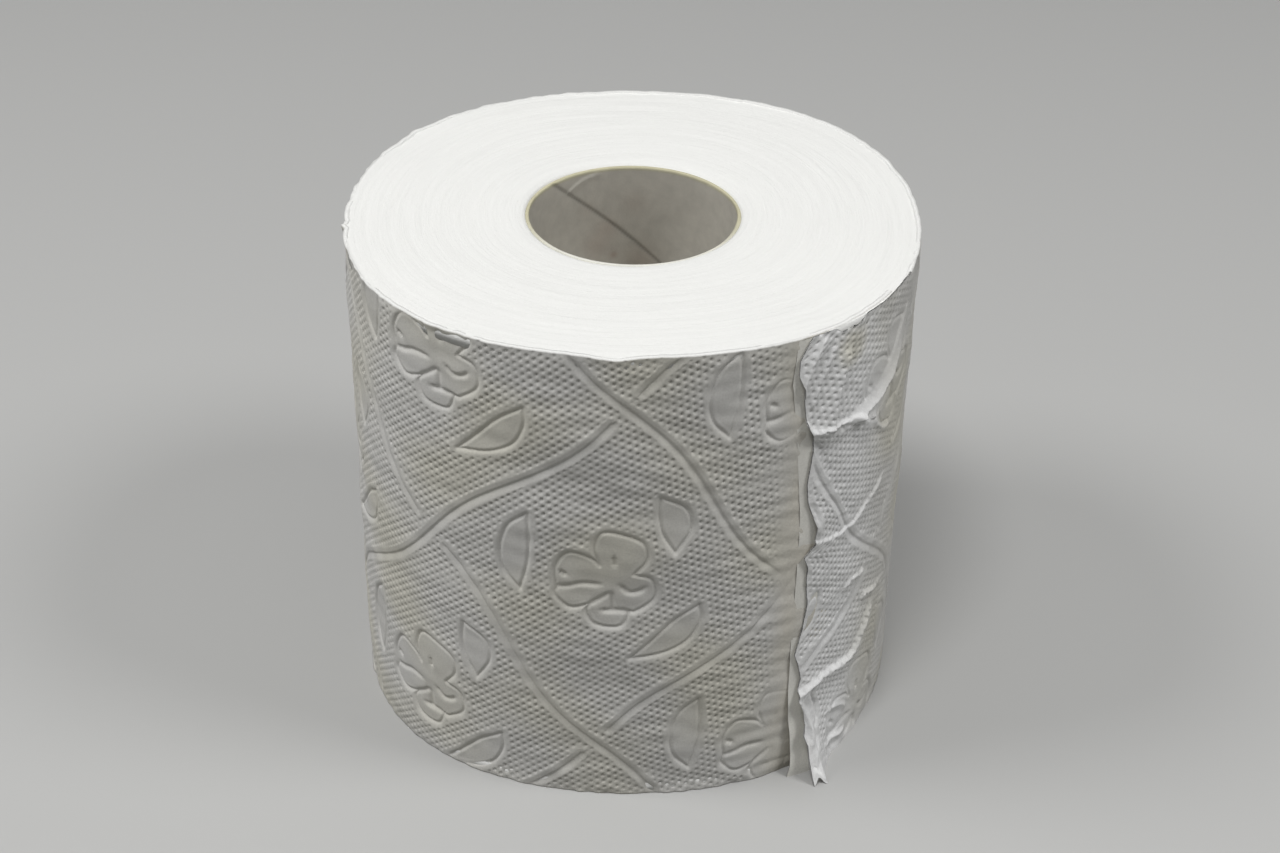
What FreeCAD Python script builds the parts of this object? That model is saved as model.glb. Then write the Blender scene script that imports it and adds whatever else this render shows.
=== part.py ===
import FreeCAD, Part
import math
import os

from FreeCAD import Vector

# A roll of embossed toilet paper that stands on its end. Millimetres and degrees.
# The origin is on the axis of the core, in the plane that the roll stands on. +Z is up and -Y is the
# front. Places on the wall are given as an arc length to the right of the front and a height.

# Roll
ROLL_RADIUS = 55.25         # mean radius outside the last turn
SHEET_WIDTH = 99.0          # width of the web, which is the height of the standing roll
WEB_CALIPER = 0.45          # thickness of one embossed turn, and the step at the free edge
FREE_EDGE_ARC = 37.0        # place of that step
OUTLINE_ARCS = 8            # arcs in one turn of the spiral outline
# How far the outline is out of round: lobes in the turn, cosine part, sine part
OUT_OF_ROUND = ((2, 0.11, 0.28), (3, -0.14, -0.12), (4, -0.89, 0.0))

# Core
BORE_RADIUS = 19.8
CORE_WALL = 0.7
CORE_SINK = 0.8             # the core's upper end lies this far below the paper
SEAM_WIDTH = 1.2
SEAM_DEPTH = 0.25
SEAM_PITCH = 110.0          # rise of the seam in one turn
SEAM_DROP_AT_BACK = 16.2    # below the core's upper end

# Turn line on the upper end: one V groove that winds outwards
TURN_LINE_HALVES = 3        # half turns of it
TURN_LINE_FROM_CORE = 13.0  # it starts this far outside the core
TURN_LINE_FROM_WALL = 5.0   # and ends this far inside the wall
TURN_LINE_WIDTH = 0.9
TURN_LINE_DEPTH = 0.3

# Embossing: a lattice of cells, each with a flower and three leaves, between crossing stems
STEM_DEPTH = 0.45
FLOWER_DEPTH = 0.85             # below the wall at its centre: its floor is flat
LEAF_DEPTH = 0.5
LATTICE_START = (-39.0, 54.5)   # one crossing of two stems
FALLING_STEP = (33.0, -41.5)    # from a crossing to the next along a falling stem
RISING_STEP = (38.5, 34.0)      # and along a rising stem
STEM_WIDTH = 1.6
STEM_GAP = 4.2                  # a broken stem stops this far from a crossing
STEM_OVERLAP = 0.4              # and a whole one runs this far past it
STEM_WAVE = 1.6                 # how far a stem swings from its straight line
STEM_STATIONS = 9

# Petals: direction from the flower's centre, distance to the petal's centre, petal radius
PETALS = ((78, 6.1, 5.0), (-12, 4.6, 4.5), (-94, 6.3, 4.6), (-152, 6.3, 4.3), (155, 6.1, 4.4))
FLOWER_HEART_RADIUS = 3.0
PETAL_SIDES = 8                 # round marks are pressed with flat sides

# Leaves, from the flower's centre: one tip, the middle of the round side, the other tip
LEAF_SIDES = 3                  # flat sides of the round side
LEAVES = (
    ((-15.0, 13.5), (-20.6, 4.0), (-16.6, -4.0)),
    ((9.3, 18.4), (15.2, 13.2), (12.2, 6.2)),
    ((17.0, -5.8), (12.8, -13.6), (4.0, -17.4)),
)

# Crumpled free end, row by row from the top. Each point has its arc from the step, its height as a
# share of the web's width, and how far it stands off the wall. A row starts at the free edge and
# ends just inside the wall.
SUNK = -0.4
CRUMPLE_ROWS = (
    ((-4.4, 0.994, 0.7), (1.0, 0.994, 0.9), (13.0, 0.990, 0.2), (23.0, 0.994, SUNK)),
    ((-6.2, 0.934, 0.8), (2.0, 0.909, 0.4), (12.0, 0.914, 0.7), (23.0, 0.900, SUNK)),
    ((-4.6, 0.862, 1.0), (3.0, 0.848, 0.9), (13.0, 0.853, 0.4), (24.0, 0.838, SUNK)),
    ((-2.6, 0.795, 1.9), (5.0, 0.790, 1.7), (14.0, 0.816, 1.2), (26.0, 0.828, SUNK)),
    ((-1.6, 0.762, 0.6), (2.2, 0.681, 0.3), (15.0, 0.707, 0.8), (26.0, 0.707, SUNK)),
    ((-3.1, 0.670, 0.9), (4.0, 0.626, 1.0), (14.0, 0.626, 0.5), (25.0, 0.626, SUNK)),
    ((-2.0, 0.514, 1.8), (6.0, 0.528, 1.6), (17.0, 0.570, 1.1), (26.0, 0.599, SUNK)),
    ((-1.1, 0.392, 0.8), (7.0, 0.384, 0.6), (16.0, 0.424, 0.7), (24.0, 0.455, SUNK)),
    ((-3.0, 0.279, 1.6), (6.0, 0.273, 0.7), (15.0, 0.293, 0.5), (23.0, 0.303, SUNK)),
    ((-2.2, 0.170, 2.2), (6.0, 0.192, 2.0), (16.0, 0.202, 1.4), (23.0, 0.222, SUNK)),
    ((-0.5, 0.091, 3.4), (6.5, 0.096, 1.6), (13.0, 0.101, 0.8), (22.0, 0.101, SUNK)),
    ((-2.0, 0.000, 7.2), (3.5, 0.000, 3.0), (10.0, 0.000, 1.4), (19.0, 0.000, SUNK)),
)
# The corner of the second ply below it
PLY_ROWS = (
    ((-3.4, 0.157, 0.5), (4.0, 0.157, 0.6)),
    ((-3.0, 0.081, 1.2), (4.0, 0.081, 1.0)),
    ((-4.4, 0.000, 3.4), (1.5, 0.000, 3.2)),
)
FLOWER_MARGIN = 8.5         # a flower's centre stays this far from the crumpled part
LEAF_MARGIN = 4.0           # and a leaf's middle this far
FREE_HEIGHT = 2.6           # where the sheet stands off further than this, it is its own thickness
ROOTED_DEPTH = 1.5          # elsewhere it is one with the turns below, down to this depth

# Worked out from the values above
PAPER_BORE = BORE_RADIUS + CORE_WALL
CORE_LENGTH = SHEET_WIDTH - CORE_SINK
FREE_EDGE_ANGLE = FREE_EDGE_ARC / ROLL_RADIUS
CRUMPLE_END_ARC = FREE_EDGE_ARC + max(row[-1][0] for row in CRUMPLE_ROWS)
TURN_LINE_FIRST_RADIUS = PAPER_BORE + TURN_LINE_FROM_CORE
TURN_LINE_GROWTH = (ROLL_RADIUS - TURN_LINE_FROM_WALL - TURN_LINE_FIRST_RADIUS) / TURN_LINE_HALVES
FULL_TURN = 2 * math.pi
LATTICE_REACH = math.ceil(FULL_TURN * ROLL_RADIUS / min(FALLING_STEP[0], RISING_STEP[0]))
TOOL_REACH = 8.0            # a tool runs this far past the faces that it cuts

UP = Vector(0, 0, 1)


def outward(angle):
    return Vector(math.sin(angle), -math.cos(angle), 0)


def radius_past_edge(past_edge):
    """Radius outside the last turn, which comes in by one caliper in the turn from the free edge on."""
    from_x = FREE_EDGE_ANGLE + past_edge - math.pi / 2
    lobes = sum(c * math.cos(n * from_x) + s * math.sin(n * from_x) for n, c, s in OUT_OF_ROUND)
    return ROLL_RADIUS + lobes - WEB_CALIPER * past_edge / FULL_TURN


def wall_radius(angle):
    return radius_past_edge((angle - FREE_EDGE_ANGLE) % FULL_TURN)


def wall_point(arc, height, stand_off):
    angle = arc / ROLL_RADIUS
    return outward(angle) * (wall_radius(angle) + stand_off) + UP * height


def wound_body(inset):
    """The turns as one solid, up to a depth below the wall, with an outline of arcs."""
    stations = 2 * OUTLINE_ARCS
    turned = [FULL_TURN * i / stations for i in range(stations + 1)]
    points = [outward(FREE_EDGE_ANGLE + t) * (radius_past_edge(t) - inset) for t in turned]
    arcs = [Part.Arc(*points[i:i + 3]).toShape() for i in range(0, stations, 2)]
    step = Part.makeLine(points[-1], points[0])
    return Part.Face(Part.Wire(arcs + [step])).extrude(UP * SHEET_WIDTH)


def turn_line():
    """A spiral V groove of half rings, whose centres lie on either side of the axis by turns."""
    shift = TURN_LINE_GROWTH / 2
    halves = []
    for half in range(TURN_LINE_HALVES):
        side = 1 if half % 2 == 0 else -1
        centre = Vector(side * shift, 0, 0)
        radius = TURN_LINE_FIRST_RADIUS + half * TURN_LINE_GROWTH
        inner = Vector(side * (radius - TURN_LINE_WIDTH), 0, SHEET_WIDTH + TURN_LINE_DEPTH)
        bottom = Vector(side * radius, 0, SHEET_WIDTH - TURN_LINE_DEPTH)
        outer = Vector(side * (radius + TURN_LINE_WIDTH), 0, SHEET_WIDTH + TURN_LINE_DEPTH)
        section = Part.Face(Part.makePolygon([inner, bottom, outer, inner]))
        section.translate(centre)
        halves.append(section.revolve(centre, UP, 180))
    return halves


def stand_on_wall(tool, arc, height, depth):
    """Turn a tool that was drawn in the XZ plane and outwards of it, so that it cuts the wall there."""
    angle = arc / ROLL_RADIUS
    placed = tool.copy()
    placed.rotate(Vector(), UP, math.degrees(angle))
    placed.translate(outward(angle) * (wall_radius(angle) - depth) + UP * height)
    return placed


def flat_sided_prism(points):
    return Part.Face(Part.makePolygon(points + points[:1])).extrude(outward(0) * TOOL_REACH)


def disc_tool(centre_x, centre_z, radius):
    turns = [FULL_TURN * i / PETAL_SIDES for i in range(PETAL_SIDES)]
    return flat_sided_prism(
        [Vector(centre_x + radius * math.cos(turn), 0, centre_z + radius * math.sin(turn)) for turn in turns]
    )


def flower_tool():
    heart = disc_tool(0, 0, FLOWER_HEART_RADIUS)
    petals = []
    for direction, distance, radius in PETALS:
        turn = math.radians(direction)
        petals.append(disc_tool(distance * math.cos(turn), distance * math.sin(turn), radius))
    return heart.fuse(petals).removeSplitter()


def leaf_tools():
    """Each leaf's prism, drawn about its own middle, with the place of that from the flower's centre."""
    tools = []
    for points in LEAVES:
        middle = ((points[0][0] + points[2][0]) / 2, (points[0][1] + points[2][1]) / 2)
        tip, bulge, other_tip = [Vector(x - middle[0], 0, z - middle[1]) for x, z in points]
        round_side = Part.Arc(tip, bulge, other_tip).toShape().discretize(LEAF_SIDES + 1)
        tools.append((flat_sided_prism(round_side), middle))
    return tools


def stem_tool(step, start, end):
    """A wavy band between two crossings, drawn about the middle of the step and through the wall."""
    length = math.hypot(*step)
    along = Vector(step[0] / length, 0, step[1] / length)
    across = Vector(-along.z, 0, along.x)
    edges = ([], [])
    for i in range(STEM_STATIONS):
        place = start + (length - end - start) * i / (STEM_STATIONS - 1)
        phase = FULL_TURN * place / length
        slope = FULL_TURN * STEM_WAVE / length * math.cos(phase)
        normal = (across - along * slope).normalize()
        middle = along * (place - length / 2) + across * (STEM_WAVE * math.sin(phase))
        for edge, side in zip(edges, (1, -1)):
            point = middle + normal * (side * STEM_WIDTH / 2)
            edge.append(Vector(ROLL_RADIUS * math.sin(point.x / ROLL_RADIUS), 0, point.z))
    curves = []
    for edge in edges:
        curve = Part.BSplineCurve()
        curve.interpolate(edge)
        curves.append(curve.toShape())
    ends = [Part.makeLine(edges[0][i], edges[1][i]) for i in (0, -1)]
    outline = Part.Wire(Part.__sortEdges__(curves + ends))
    band = Part.Face(outline)
    band.translate(outward(0) * -TOOL_REACH)
    return band.extrude(outward(0) * 2 * TOOL_REACH)


def on_last_turn(arc, height, margin, overhang):
    """True where a motif's middle lies on the last turn, clear of its crumpled end."""
    circumference = FULL_TURN * ROLL_RADIUS
    clear = CRUMPLE_END_ARC + margin - circumference < arc < FREE_EDGE_ARC
    return clear and -overhang < height < SHEET_WIDTH + overhang


def lattice_crossings():
    """Each crossing of two stems, with its parity."""
    reach = range(-LATTICE_REACH, LATTICE_REACH + 1)
    for i in reach:
        for j in reach:
            arc = LATTICE_START[0] + i * FALLING_STEP[0] + j * RISING_STEP[0]
            height = LATTICE_START[1] + i * FALLING_STEP[1] + j * RISING_STEP[1]
            yield arc, height, (i + j) % 2


def stem_tools():
    """A tool for each stem. At every crossing one stem runs through and the other is broken."""
    whole, broken = -STEM_OVERLAP, STEM_GAP
    rising = (stem_tool(RISING_STEP, whole, broken), stem_tool(RISING_STEP, broken, whole))
    falling = (stem_tool(FALLING_STEP, broken, whole), stem_tool(FALLING_STEP, whole, broken))
    tools = []
    for arc, height, parity in lattice_crossings():
        for step, pair in ((RISING_STEP, rising), (FALLING_STEP, falling)):
            middle = (arc + step[0] / 2, height + step[1] / 2)
            if on_last_turn(*middle, 0, abs(step[1]) / 2):
                tools.append(stand_on_wall(pair[parity], *middle, 0))
    return tools


def motif_tools():
    """A tool for each flower and leaf whose middle lies well on the wall."""
    flower = flower_tool()
    leaves = leaf_tools()
    tools = []
    for arc, height, _ in lattice_crossings():
        centre = (arc + (FALLING_STEP[0] + RISING_STEP[0]) / 2, height + (FALLING_STEP[1] + RISING_STEP[1]) / 2)
        if on_last_turn(*centre, FLOWER_MARGIN, FLOWER_MARGIN / 2):
            tools.append(stand_on_wall(flower, *centre, FLOWER_DEPTH))
        for leaf, place in leaves:
            middle = (centre[0] + place[0], centre[1] + place[1])
            if on_last_turn(*middle, LEAF_MARGIN, 0):
                tools.append(stand_on_wall(leaf, *middle, LEAF_DEPTH))
    return tools


def crease_point(point, stand_off):
    arc, share, _ = point
    return wall_point(FREE_EDGE_ARC + arc, share * SHEET_WIDTH, stand_off)


def around(grid):
    """The points round the edge of a grid, in order."""
    down = [row[0] for row in grid]
    up = [row[-1] for row in reversed(grid)]
    return down + grid[-1][1:-1] + up + grid[0][-2:0:-1]


def sheet_solid(rows):
    """A faceted sheet between rows of crease points, one with the turns where it lies on them."""
    outside = [[crease_point(point, point[2]) for point in row] for row in rows]
    inside = []
    for row in rows:
        depths = [p[2] - WEB_CALIPER if p[2] > FREE_HEIGHT else -ROOTED_DEPTH for p in row]
        inside.append([crease_point(point, depth) for point, depth in zip(row, depths)])
    triangles = []
    for grid in (outside, inside):
        for upper, lower in zip(grid, grid[1:]):
            for k in range(len(upper) - 1):
                triangles.append((upper[k], lower[k], upper[k + 1]))
                triangles.append((upper[k + 1], lower[k], lower[k + 1]))
    outer_edge, inner_edge = around(outside), around(inside)
    for k in range(len(outer_edge)):
        triangles.append((outer_edge[k - 1], inner_edge[k - 1], outer_edge[k]))
        triangles.append((outer_edge[k], inner_edge[k - 1], inner_edge[k]))
    faces = [Part.Face(Part.makePolygon([a, b, c, a])) for a, b, c in triangles]
    return Part.makeSolid(Part.makeShell(faces))


def wound_paper():
    body = wound_body(0)
    ring = Part.makeCylinder(ROLL_RADIUS + TOOL_REACH, SHEET_WIDTH).cut(wound_body(STEM_DEPTH))
    stems = ring.common(stem_tools())
    body = body.cut(stems.Solids + motif_tools())
    body = body.cut(Part.makeCylinder(PAPER_BORE, SHEET_WIDTH))
    body = body.cut(turn_line())
    body = body.fuse([sheet_solid(CRUMPLE_ROWS), sheet_solid(PLY_ROWS)])
    return body.removeSplitter()


def core_tube():
    """A board tube with the open seam of its spirally wound inner ply, as a helical V groove."""
    tube = Part.makeCylinder(PAPER_BORE, CORE_LENGTH).cut(Part.makeCylinder(BORE_RADIUS, CORE_LENGTH))
    path = Part.makeHelix(SEAM_PITCH, CORE_LENGTH + 2 * TOOL_REACH, BORE_RADIUS)
    slope = math.atan2(SEAM_PITCH, FULL_TURN * BORE_RADIUS)
    height = SEAM_WIDTH / math.cos(slope)
    lower = Vector(BORE_RADIUS - SEAM_DEPTH, 0, -height)
    bottom = Vector(BORE_RADIUS + SEAM_DEPTH, 0, 0)
    upper = Vector(BORE_RADIUS - SEAM_DEPTH, 0, height)
    section = Part.makePolygon([lower, bottom, upper, lower])
    seam = Part.Wire(path).makePipeShell([section], True, True)
    seam.translate(UP * -TOOL_REACH)
    seam_height_at_back = CORE_LENGTH - SEAM_DROP_AT_BACK
    seam.rotate(Vector(), UP, 90 - 360 * (seam_height_at_back + TOOL_REACH) / SEAM_PITCH)
    return tube.cut(seam)


def write(name, made):
    shape = made.Solids[0]
    print(name, "solids", len(made.Solids), "valid", shape.isValid(), "mm3", round(shape.Volume))
    shape.exportStep(f"parts/{name}.step")


os.makedirs("parts", exist_ok=True)
write("wound_paper", wound_paper())
write("core_tube", core_tube())
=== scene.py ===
import math

import bpy
import numpy as np
from mathutils import Matrix, Vector


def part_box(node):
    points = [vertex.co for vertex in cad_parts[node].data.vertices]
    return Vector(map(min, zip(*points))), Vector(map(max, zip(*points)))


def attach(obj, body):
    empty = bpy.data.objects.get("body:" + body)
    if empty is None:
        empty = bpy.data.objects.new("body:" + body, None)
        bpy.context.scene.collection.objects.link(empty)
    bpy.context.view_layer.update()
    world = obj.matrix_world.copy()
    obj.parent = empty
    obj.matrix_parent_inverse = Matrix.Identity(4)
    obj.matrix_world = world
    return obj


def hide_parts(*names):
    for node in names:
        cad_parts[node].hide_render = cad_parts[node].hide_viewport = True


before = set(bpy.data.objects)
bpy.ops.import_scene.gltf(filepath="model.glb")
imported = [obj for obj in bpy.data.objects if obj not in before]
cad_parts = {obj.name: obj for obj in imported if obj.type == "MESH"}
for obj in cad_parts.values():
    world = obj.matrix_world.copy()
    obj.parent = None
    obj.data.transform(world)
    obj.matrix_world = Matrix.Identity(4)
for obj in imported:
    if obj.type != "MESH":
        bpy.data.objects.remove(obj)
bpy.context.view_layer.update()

# A standing roll of embossed toilet paper with a crumpled free end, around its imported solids.
# Lengths are millimetres until a mesh is made. The web is the strip of paper that is wound up: "along"
# runs from its free end, "height" runs up the standing roll, and "stand-off" is out from the wall.
# The "pattern arc" of a place on the web is the arc to the right of the front where the last turn shows it.
MM = 0.001
FULL_TURN = 2 * math.pi
TINY = 1e-9                     # keeps a division by a length of 0 finite

# Sizes from the frame
SHEET_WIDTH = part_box("wound_paper")[1].z / MM
CORE_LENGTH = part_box("core_tube")[1].z / MM
PAPER_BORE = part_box("core_tube")[1].x / MM

# Roll
ROLL_RADIUS = 55.25
WEB_CALIPER = 0.45
CORE_WALL = 0.7
STEP_ARC = 37.0                 # arc to the right of the front where the radius steps
FREE_EDGE_ARC = 33.5            # mean arc of the free edge, where "along" is 0
# Lobes of its outline: how many, and their cosine and sine parts
OUT_OF_ROUND = ((2, 0.11, 0.28), (3, -0.14, -0.12), (4, -0.89, 0.0))
TURN_LENGTH = 347.0             # the embossing's shift from one turn to the next
HIDDEN_END = 22.0               # the web runs on this far under the free end
SHEET_LENGTH = 117.0            # between two lines of perforations
PLY_THICKNESS = 0.3
LIP_WIDTH = 0.9                 # the rim of the last turn laps this far over the turns inside it
LIP_DROP = 0.03

# Random fields
WAVE_STRETCH = (0.7, 1.4)       # each wave is this much longer or shorter than the size asked for
FINER_SHARE = 0.6               # height of the smaller waves of a field of two sizes, as a share

# Meshes
FINE_SPACING = 0.29
COARSE_SPACING = 0.42
FREE_SPACING = 0.26
FREE_END_LENGTH = 30.0          # this much of the web is modelled on both sides
# The wall's pieces: where they start along the web, and their spacing, finer at the front
WALL_PIECES = (
    (FREE_END_LENGTH, COARSE_SPACING),
    (127.0, COARSE_SPACING),
    (224.0, FINE_SPACING),
    (296.0, FINE_SPACING),
)

# Embossing
GROOVE_ROUNDNESS = 1.5          # 2 is a round groove, 1 is a sharp one
STEM_DEPTH = 0.3
STEM_HALF_WIDTHS = (0.28, 0.78) # above and below its line
STEM_LIP = (0.07, 1.35, 0.45)   # height, distance from the stem's line and half width of a raised lip
STEM_MARGIN = (1.2, 0.7)        # plain margin beside a stem, and how far past it the dots come in
STEM_GAP = 4.2                  # a stem stops this far from one that it meets
STEM_OVERRUN = 0.4              # and runs this far past a crossing where it is the upper one
STEM_REACH = 6.0                # it bears on nothing further away than this
LATTICE_START = (-39.0, 54.5)   # pattern arc and height of one crossing of two stems
FALLING_STEP = (33.0, -41.5)    # from a crossing to the next along a falling stem
RISING_STEP = (38.5, 34.0)
LATTICE_STEPS = 14
LATTICE_MARGIN = 60.0           # crossings this far outside the web still bear on it
RISING_WAVE = 1.4               # a stem swings this far to each side between two crossings
FALLING_WAVE = 1.75
MOTIF_DEPTH = 0.44
MOTIF_HALF_WIDTH = 0.4
MOTIF_SINK = 0.16               # the inside of a motif lies this far below the dotted field
MOTIF_SINK_REACH = 1.2
MOTIF_LIP = (0.05, 1.5, 0.6)    # as a stem's
MOTIF_MARGIN = (0.9, 0.9)
MOTIF_REACH = 3.0
CREASE_DEPTH = 0.42
CREASE_HALF_WIDTH = 0.5
CREASE_END_DEPTH = 0.4          # a petal's crease is about this shallow at its ends, as a share
CREASE_END_LENGTH = 0.25        # and gets deep over this share of its length
PIN_ROW_A = (1.32, -0.57)       # from one pin dot to the next along two rows
PIN_ROW_B = (1.135, 0.935)
PIN_DEPTH = 0.34
PIN_SHARPNESS = 2.4
PIN_SHADE = 0.2                 # painted shade: a pin dot is darker by this share, for the shade in its pit
PIN_UNEVENNESS = 0.18
PIN_FIELD = ((9.0, 9.0), 3)     # each random field has the sizes of its waves, and its seed
SLACK = 0.10                    # height of the paper's slow waves
SLACK_FIELD = ((26.0, 18.0), 5)
FINE_SLACK = 0.035
FINE_SLACK_FIELD = ((7.0, 5.0), 6)

# Glued band of the web, where its embossing is flat, and the puckers before it
GLUED_BAND = (25.5, 4.5)        # pattern arc of its start, and how far it takes to get flat
GLUED_FLATNESS = 0.8
GLUED_DOT_LOSS = 0.9
PUCKER_HEIGHT = 0.05
PUCKER_PITCH = 3.1
PUCKER_PLACE = 25.0
PUCKER_HALF_WIDTH = 9.0
PUCKER_SWAY = 0.9
PUCKER_SWAY_LENGTH = 6.0

# Lines of perforations, and the part of the web that hides under the free end
PERFORATION_DEPTH = 0.28
PERFORATION_HALF_WIDTH = 0.3
PERFORATION_PITCH = 3.3
PERFORATION_TIE = -0.6          # where the sine up the line is less than this, the sheets hold together
HIDDEN_SINK = (0.25, 6.0, 4.0)  # how much deeper it lies, from how far past the last turn, and reach

# Flower, from its centre: petal by petal, from the notch before it
PETALS = (
    ((-1.9, 3.9), (-2.9, 7.7), (-1.5, 11.2), (2.5, 10.8), (6.3, 9.0), (6.9, 5.5)),
    ((4.5, 2.1), (7.9, 0.9), (8.5, -3.2), (5.0, -6.2)),
    ((3.7, -6.4), (2.0, -9.6), (-2.7, -9.4), (-4.4, -6.6)),
    ((-3.8, -4.9), (-7.5, -5.9), (-10.2, -3.5)),
    ((-10.1, -1.5), (-10.3, 2.7), (-7.8, 6.4), (-3.8, 5.6)),
)
PETAL_CREASES = (
    ((-10.0, -1.5), (-7.7, -1.1), (-5.2, -0.3), (-1.8, -0.4)),
    ((-3.8, -4.9), (-2.8, -4.2), (-1.4, -3.2), (-0.2, -2.2)),
    ((0.35, -2.2), (0.4, -6.0)),
    ((-1.6, -6.3), (0.4, -6.2), (2.2, -6.2), (3.7, -6.4)),
    ((1.9, -0.6), (3.6, -2.0), (5.4, -1.8), (6.6, -0.9)),
    ((0.75, 6.0), (0.9, 4.0)),
    ((-9.4, 2.0), (-8.2, 1.2)),
)
# Leaves, from the flower's centre: one side from tip to tip, then the other side back
LEAVES = (
    (
        ((-15.5, 13.8), (-15.2, 8.0), (-15.7, 2.3), (-17.1, -3.3)),
        ((-20.2, 0.3), (-20.9, 5.0), (-19.2, 10.5)),
    ),
    (
        ((9.3, 18.9), (13.9, 16.4), (14.9, 12.0), (12.1, 6.9)),
        ((9.8, 11.0), (9.0, 15.0)),
    ),
    (
        ((17.0, -5.5), (17.2, -9.0), (15.0, -13.3), (10.5, -15.9), (4.0, -17.2)),
        ((7.3, -13.9), (12.3, -8.7)),
    ),
)

# Free end: its edge, as heights with the arc to the right of the front there
FREE_EDGE = (
    (0.0, 34.6), (5.0, 34.9), (7.5, 35.3), (9.6, 34.8), (11.7, 35.5), (14.7, 35.2), (17.9, 34.0),
    (22.4, 35.1), (26.3, 34.2), (28.7, 33.3), (34.0, 34.8), (40.0, 35.7), (45.3, 35.1), (48.7, 35.1),
    (51.3, 34.0), (53.8, 36.2), (57.5, 36.3), (61.0, 35.2), (63.6, 34.2), (67.8, 33.7), (70.1, 34.0),
    (75.7, 34.7), (79.0, 33.5), (80.8, 32.6), (84.1, 32.2), (88.7, 31.5), (91.7, 30.5), (94.7, 30.5),
    (99.0, 32.8),
)
EDGE_REACH = 14.0               # the edge's own line is lost this far along the web
# How far the edge stands off the turn below it, by height
EDGE_LIFT = (
    (0.0, 0.6), (17.0, 0.9), (22.0, 0.3), (27.6, 0.35), (35.0, 0.1), (45.0, 0.1), (51.0, 0.35), (55.0, 0.15),
    (66.0, 0.15), (74.0, 0.1), (79.0, 0.5), (84.0, 0.2), (92.0, 0.15), (99.0, 0.15),
)
LIFT_REACH = 9.0
FREE_END_FADE = 8.0             # over this length its looseness ends
# How far the foot of the free end stands off, by arc to the right of the front
FOOT_LIFT = (
    (30.0, 6.4), (34.4, 6.7), (35.7, 6.0), (37.0, 7.2), (37.8, 5.2), (40.5, 2.9), (43.7, 1.3), (45.8, 1.6),
    (48.5, 0.8), (52.1, 0.5), (60.0, 0.0),
)
FOOT_HEIGHT = 17.0
FOOT_CURVE = 1.35
FOOT_NOTCH = (35.8, 0.6, 1.5)   # arc, half width and height of a nick in its foot
FOOT_NOTCH_REACH = 4.0
TOP_DIP = (37.5, 47.0, 1.2)     # the top edge of the free end dips between these arcs by this much
TOP_DIP_SLOPES = (2.5, 4.0)     # down into it, and up out of it
# Creases: height, reach to the left of the line, reach to its right, and the line as arc and height
FREE_END_CREASES = (
    (0.75, 0.6, 5.0,
     ((32.4, 81.3), (33.4, 79.7), (35.2, 78.9), (40.8, 78.5), (45.6, 78.1), (48.1, 75.5), (53.0, 76.3))),
    (1.1, 2.4, 1.6, ((45.6, 77.6), (52.0, 79.5), (58.0, 84.0), (64.0, 90.0), (69.0, 96.0))),
    (0.4, 0.5, 1.5, ((50.5, 75.5), (52.1, 72.8), (55.0, 70.5), (57.4, 70.7), (58.9, 73.6), (61.1, 76.1))),
    (0.5, 0.6, 2.0, ((59.9, 64.4), (63.4, 67.2), (65.6, 70.3), (69.0, 72.0))),
    (0.45, 0.5, 4.0, ((35.8, 54.2), (39.9, 53.2), (46.0, 53.5), (49.5, 55.4), (53.0, 57.2), (59.0, 60.5))),
    (0.5, 0.6, 2.0, ((58.0, 46.9), (60.2, 51.6), (62.0, 54.5))),
    (-1.0, 1.2, 0.5, ((34.6, 76.2), (36.7, 71.9), (38.7, 67.7))),
    (0.8, 1.5, 2.5, ((31.0, 88.0), (33.1, 94.2), (36.2, 99.0))),
    (0.8, 5.0, 0.7, ((38.6, 79.8), (39.4, 86.0), (41.5, 92.8), (41.3, 96.0))),
    (0.95, 0.9, 5.0,
     ((33.5, 18.7), (37.5, 19.7), (41.2, 20.6), (49.0, 20.3), (51.5, 23.0), (54.3, 27.3), (58.0, 31.0))),
    (0.6, 0.7, 2.5, ((52.8, 33.3), (57.5, 32.2), (66.0, 31.2))),
    (0.4, 0.6, 2.0, ((45.8, 38.8), (47.8, 40.0), (52.0, 39.8))),
    (-0.5, 1.8, 1.8, ((35.8, 42.7), (40.5, 40.7), (45.6, 38.9))),
    (-0.7, 1.2, 1.5, ((44.6, 34.5), (45.5, 29.6), (46.1, 25.9), (48.0, 22.2))),
    (0.5, 1.0, 1.0, ((34.4, 17.2), (35.8, 13.9), (36.8, 9.8), (35.7, 5.5))),
    (0.4, 0.6, 1.5, ((42.3, 3.4), (45.0, 3.0), (49.0, 2.5))),
    (0.4, 0.8, 1.5, ((42.8, 10.8), (46.4, 9.9), (49.3, 7.3))),
    (0.4, 0.8, 1.5, ((33.6, 85.0), (35.5, 90.5), (39.0, 97.5))),
)
CREASE_SHARPNESS = 1.8
CREASE_ROUNDING = 0.18
CREASE_TAPER = 0.2              # a crease fades over this share of its line, at its end
FOLD_HEIGHT = 1.05              # a crease higher than this pulls its upper side smooth
FOLD_SMOOTHNESS = 3.0
SHADED_PATCH = (42.5, 94.5, 3.8, 4.5)    # arc, height, half width and half height of a patch of painted shade under the dip in the top edge
PULLED_FLAT = (46.0, 77.0)      # up to this arc and above this height its embossing is all pin dots
PULLED_FLAT_EDGE = 2.0
EDGE_SMOOTH = 1.5               # its embossing comes in over this distance from its edge
EDGE_BLISTER = (37.0, 57.6, 1.1, 3.0, 0.8)  # arc, height, half width, half height, stand-off
CRINKLE_HEIGHT = 0.05
CRINKLE_SIZE = 6.0
CRINKLE_CREST = 1.2
CRINKLE_SEED = 21
FINE_CRINKLE_SIZE = CRINKLE_SIZE / 2.2
FINE_CRINKLE_SHARE = 0.45
FINE_CRINKLE_SEED = 22

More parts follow.
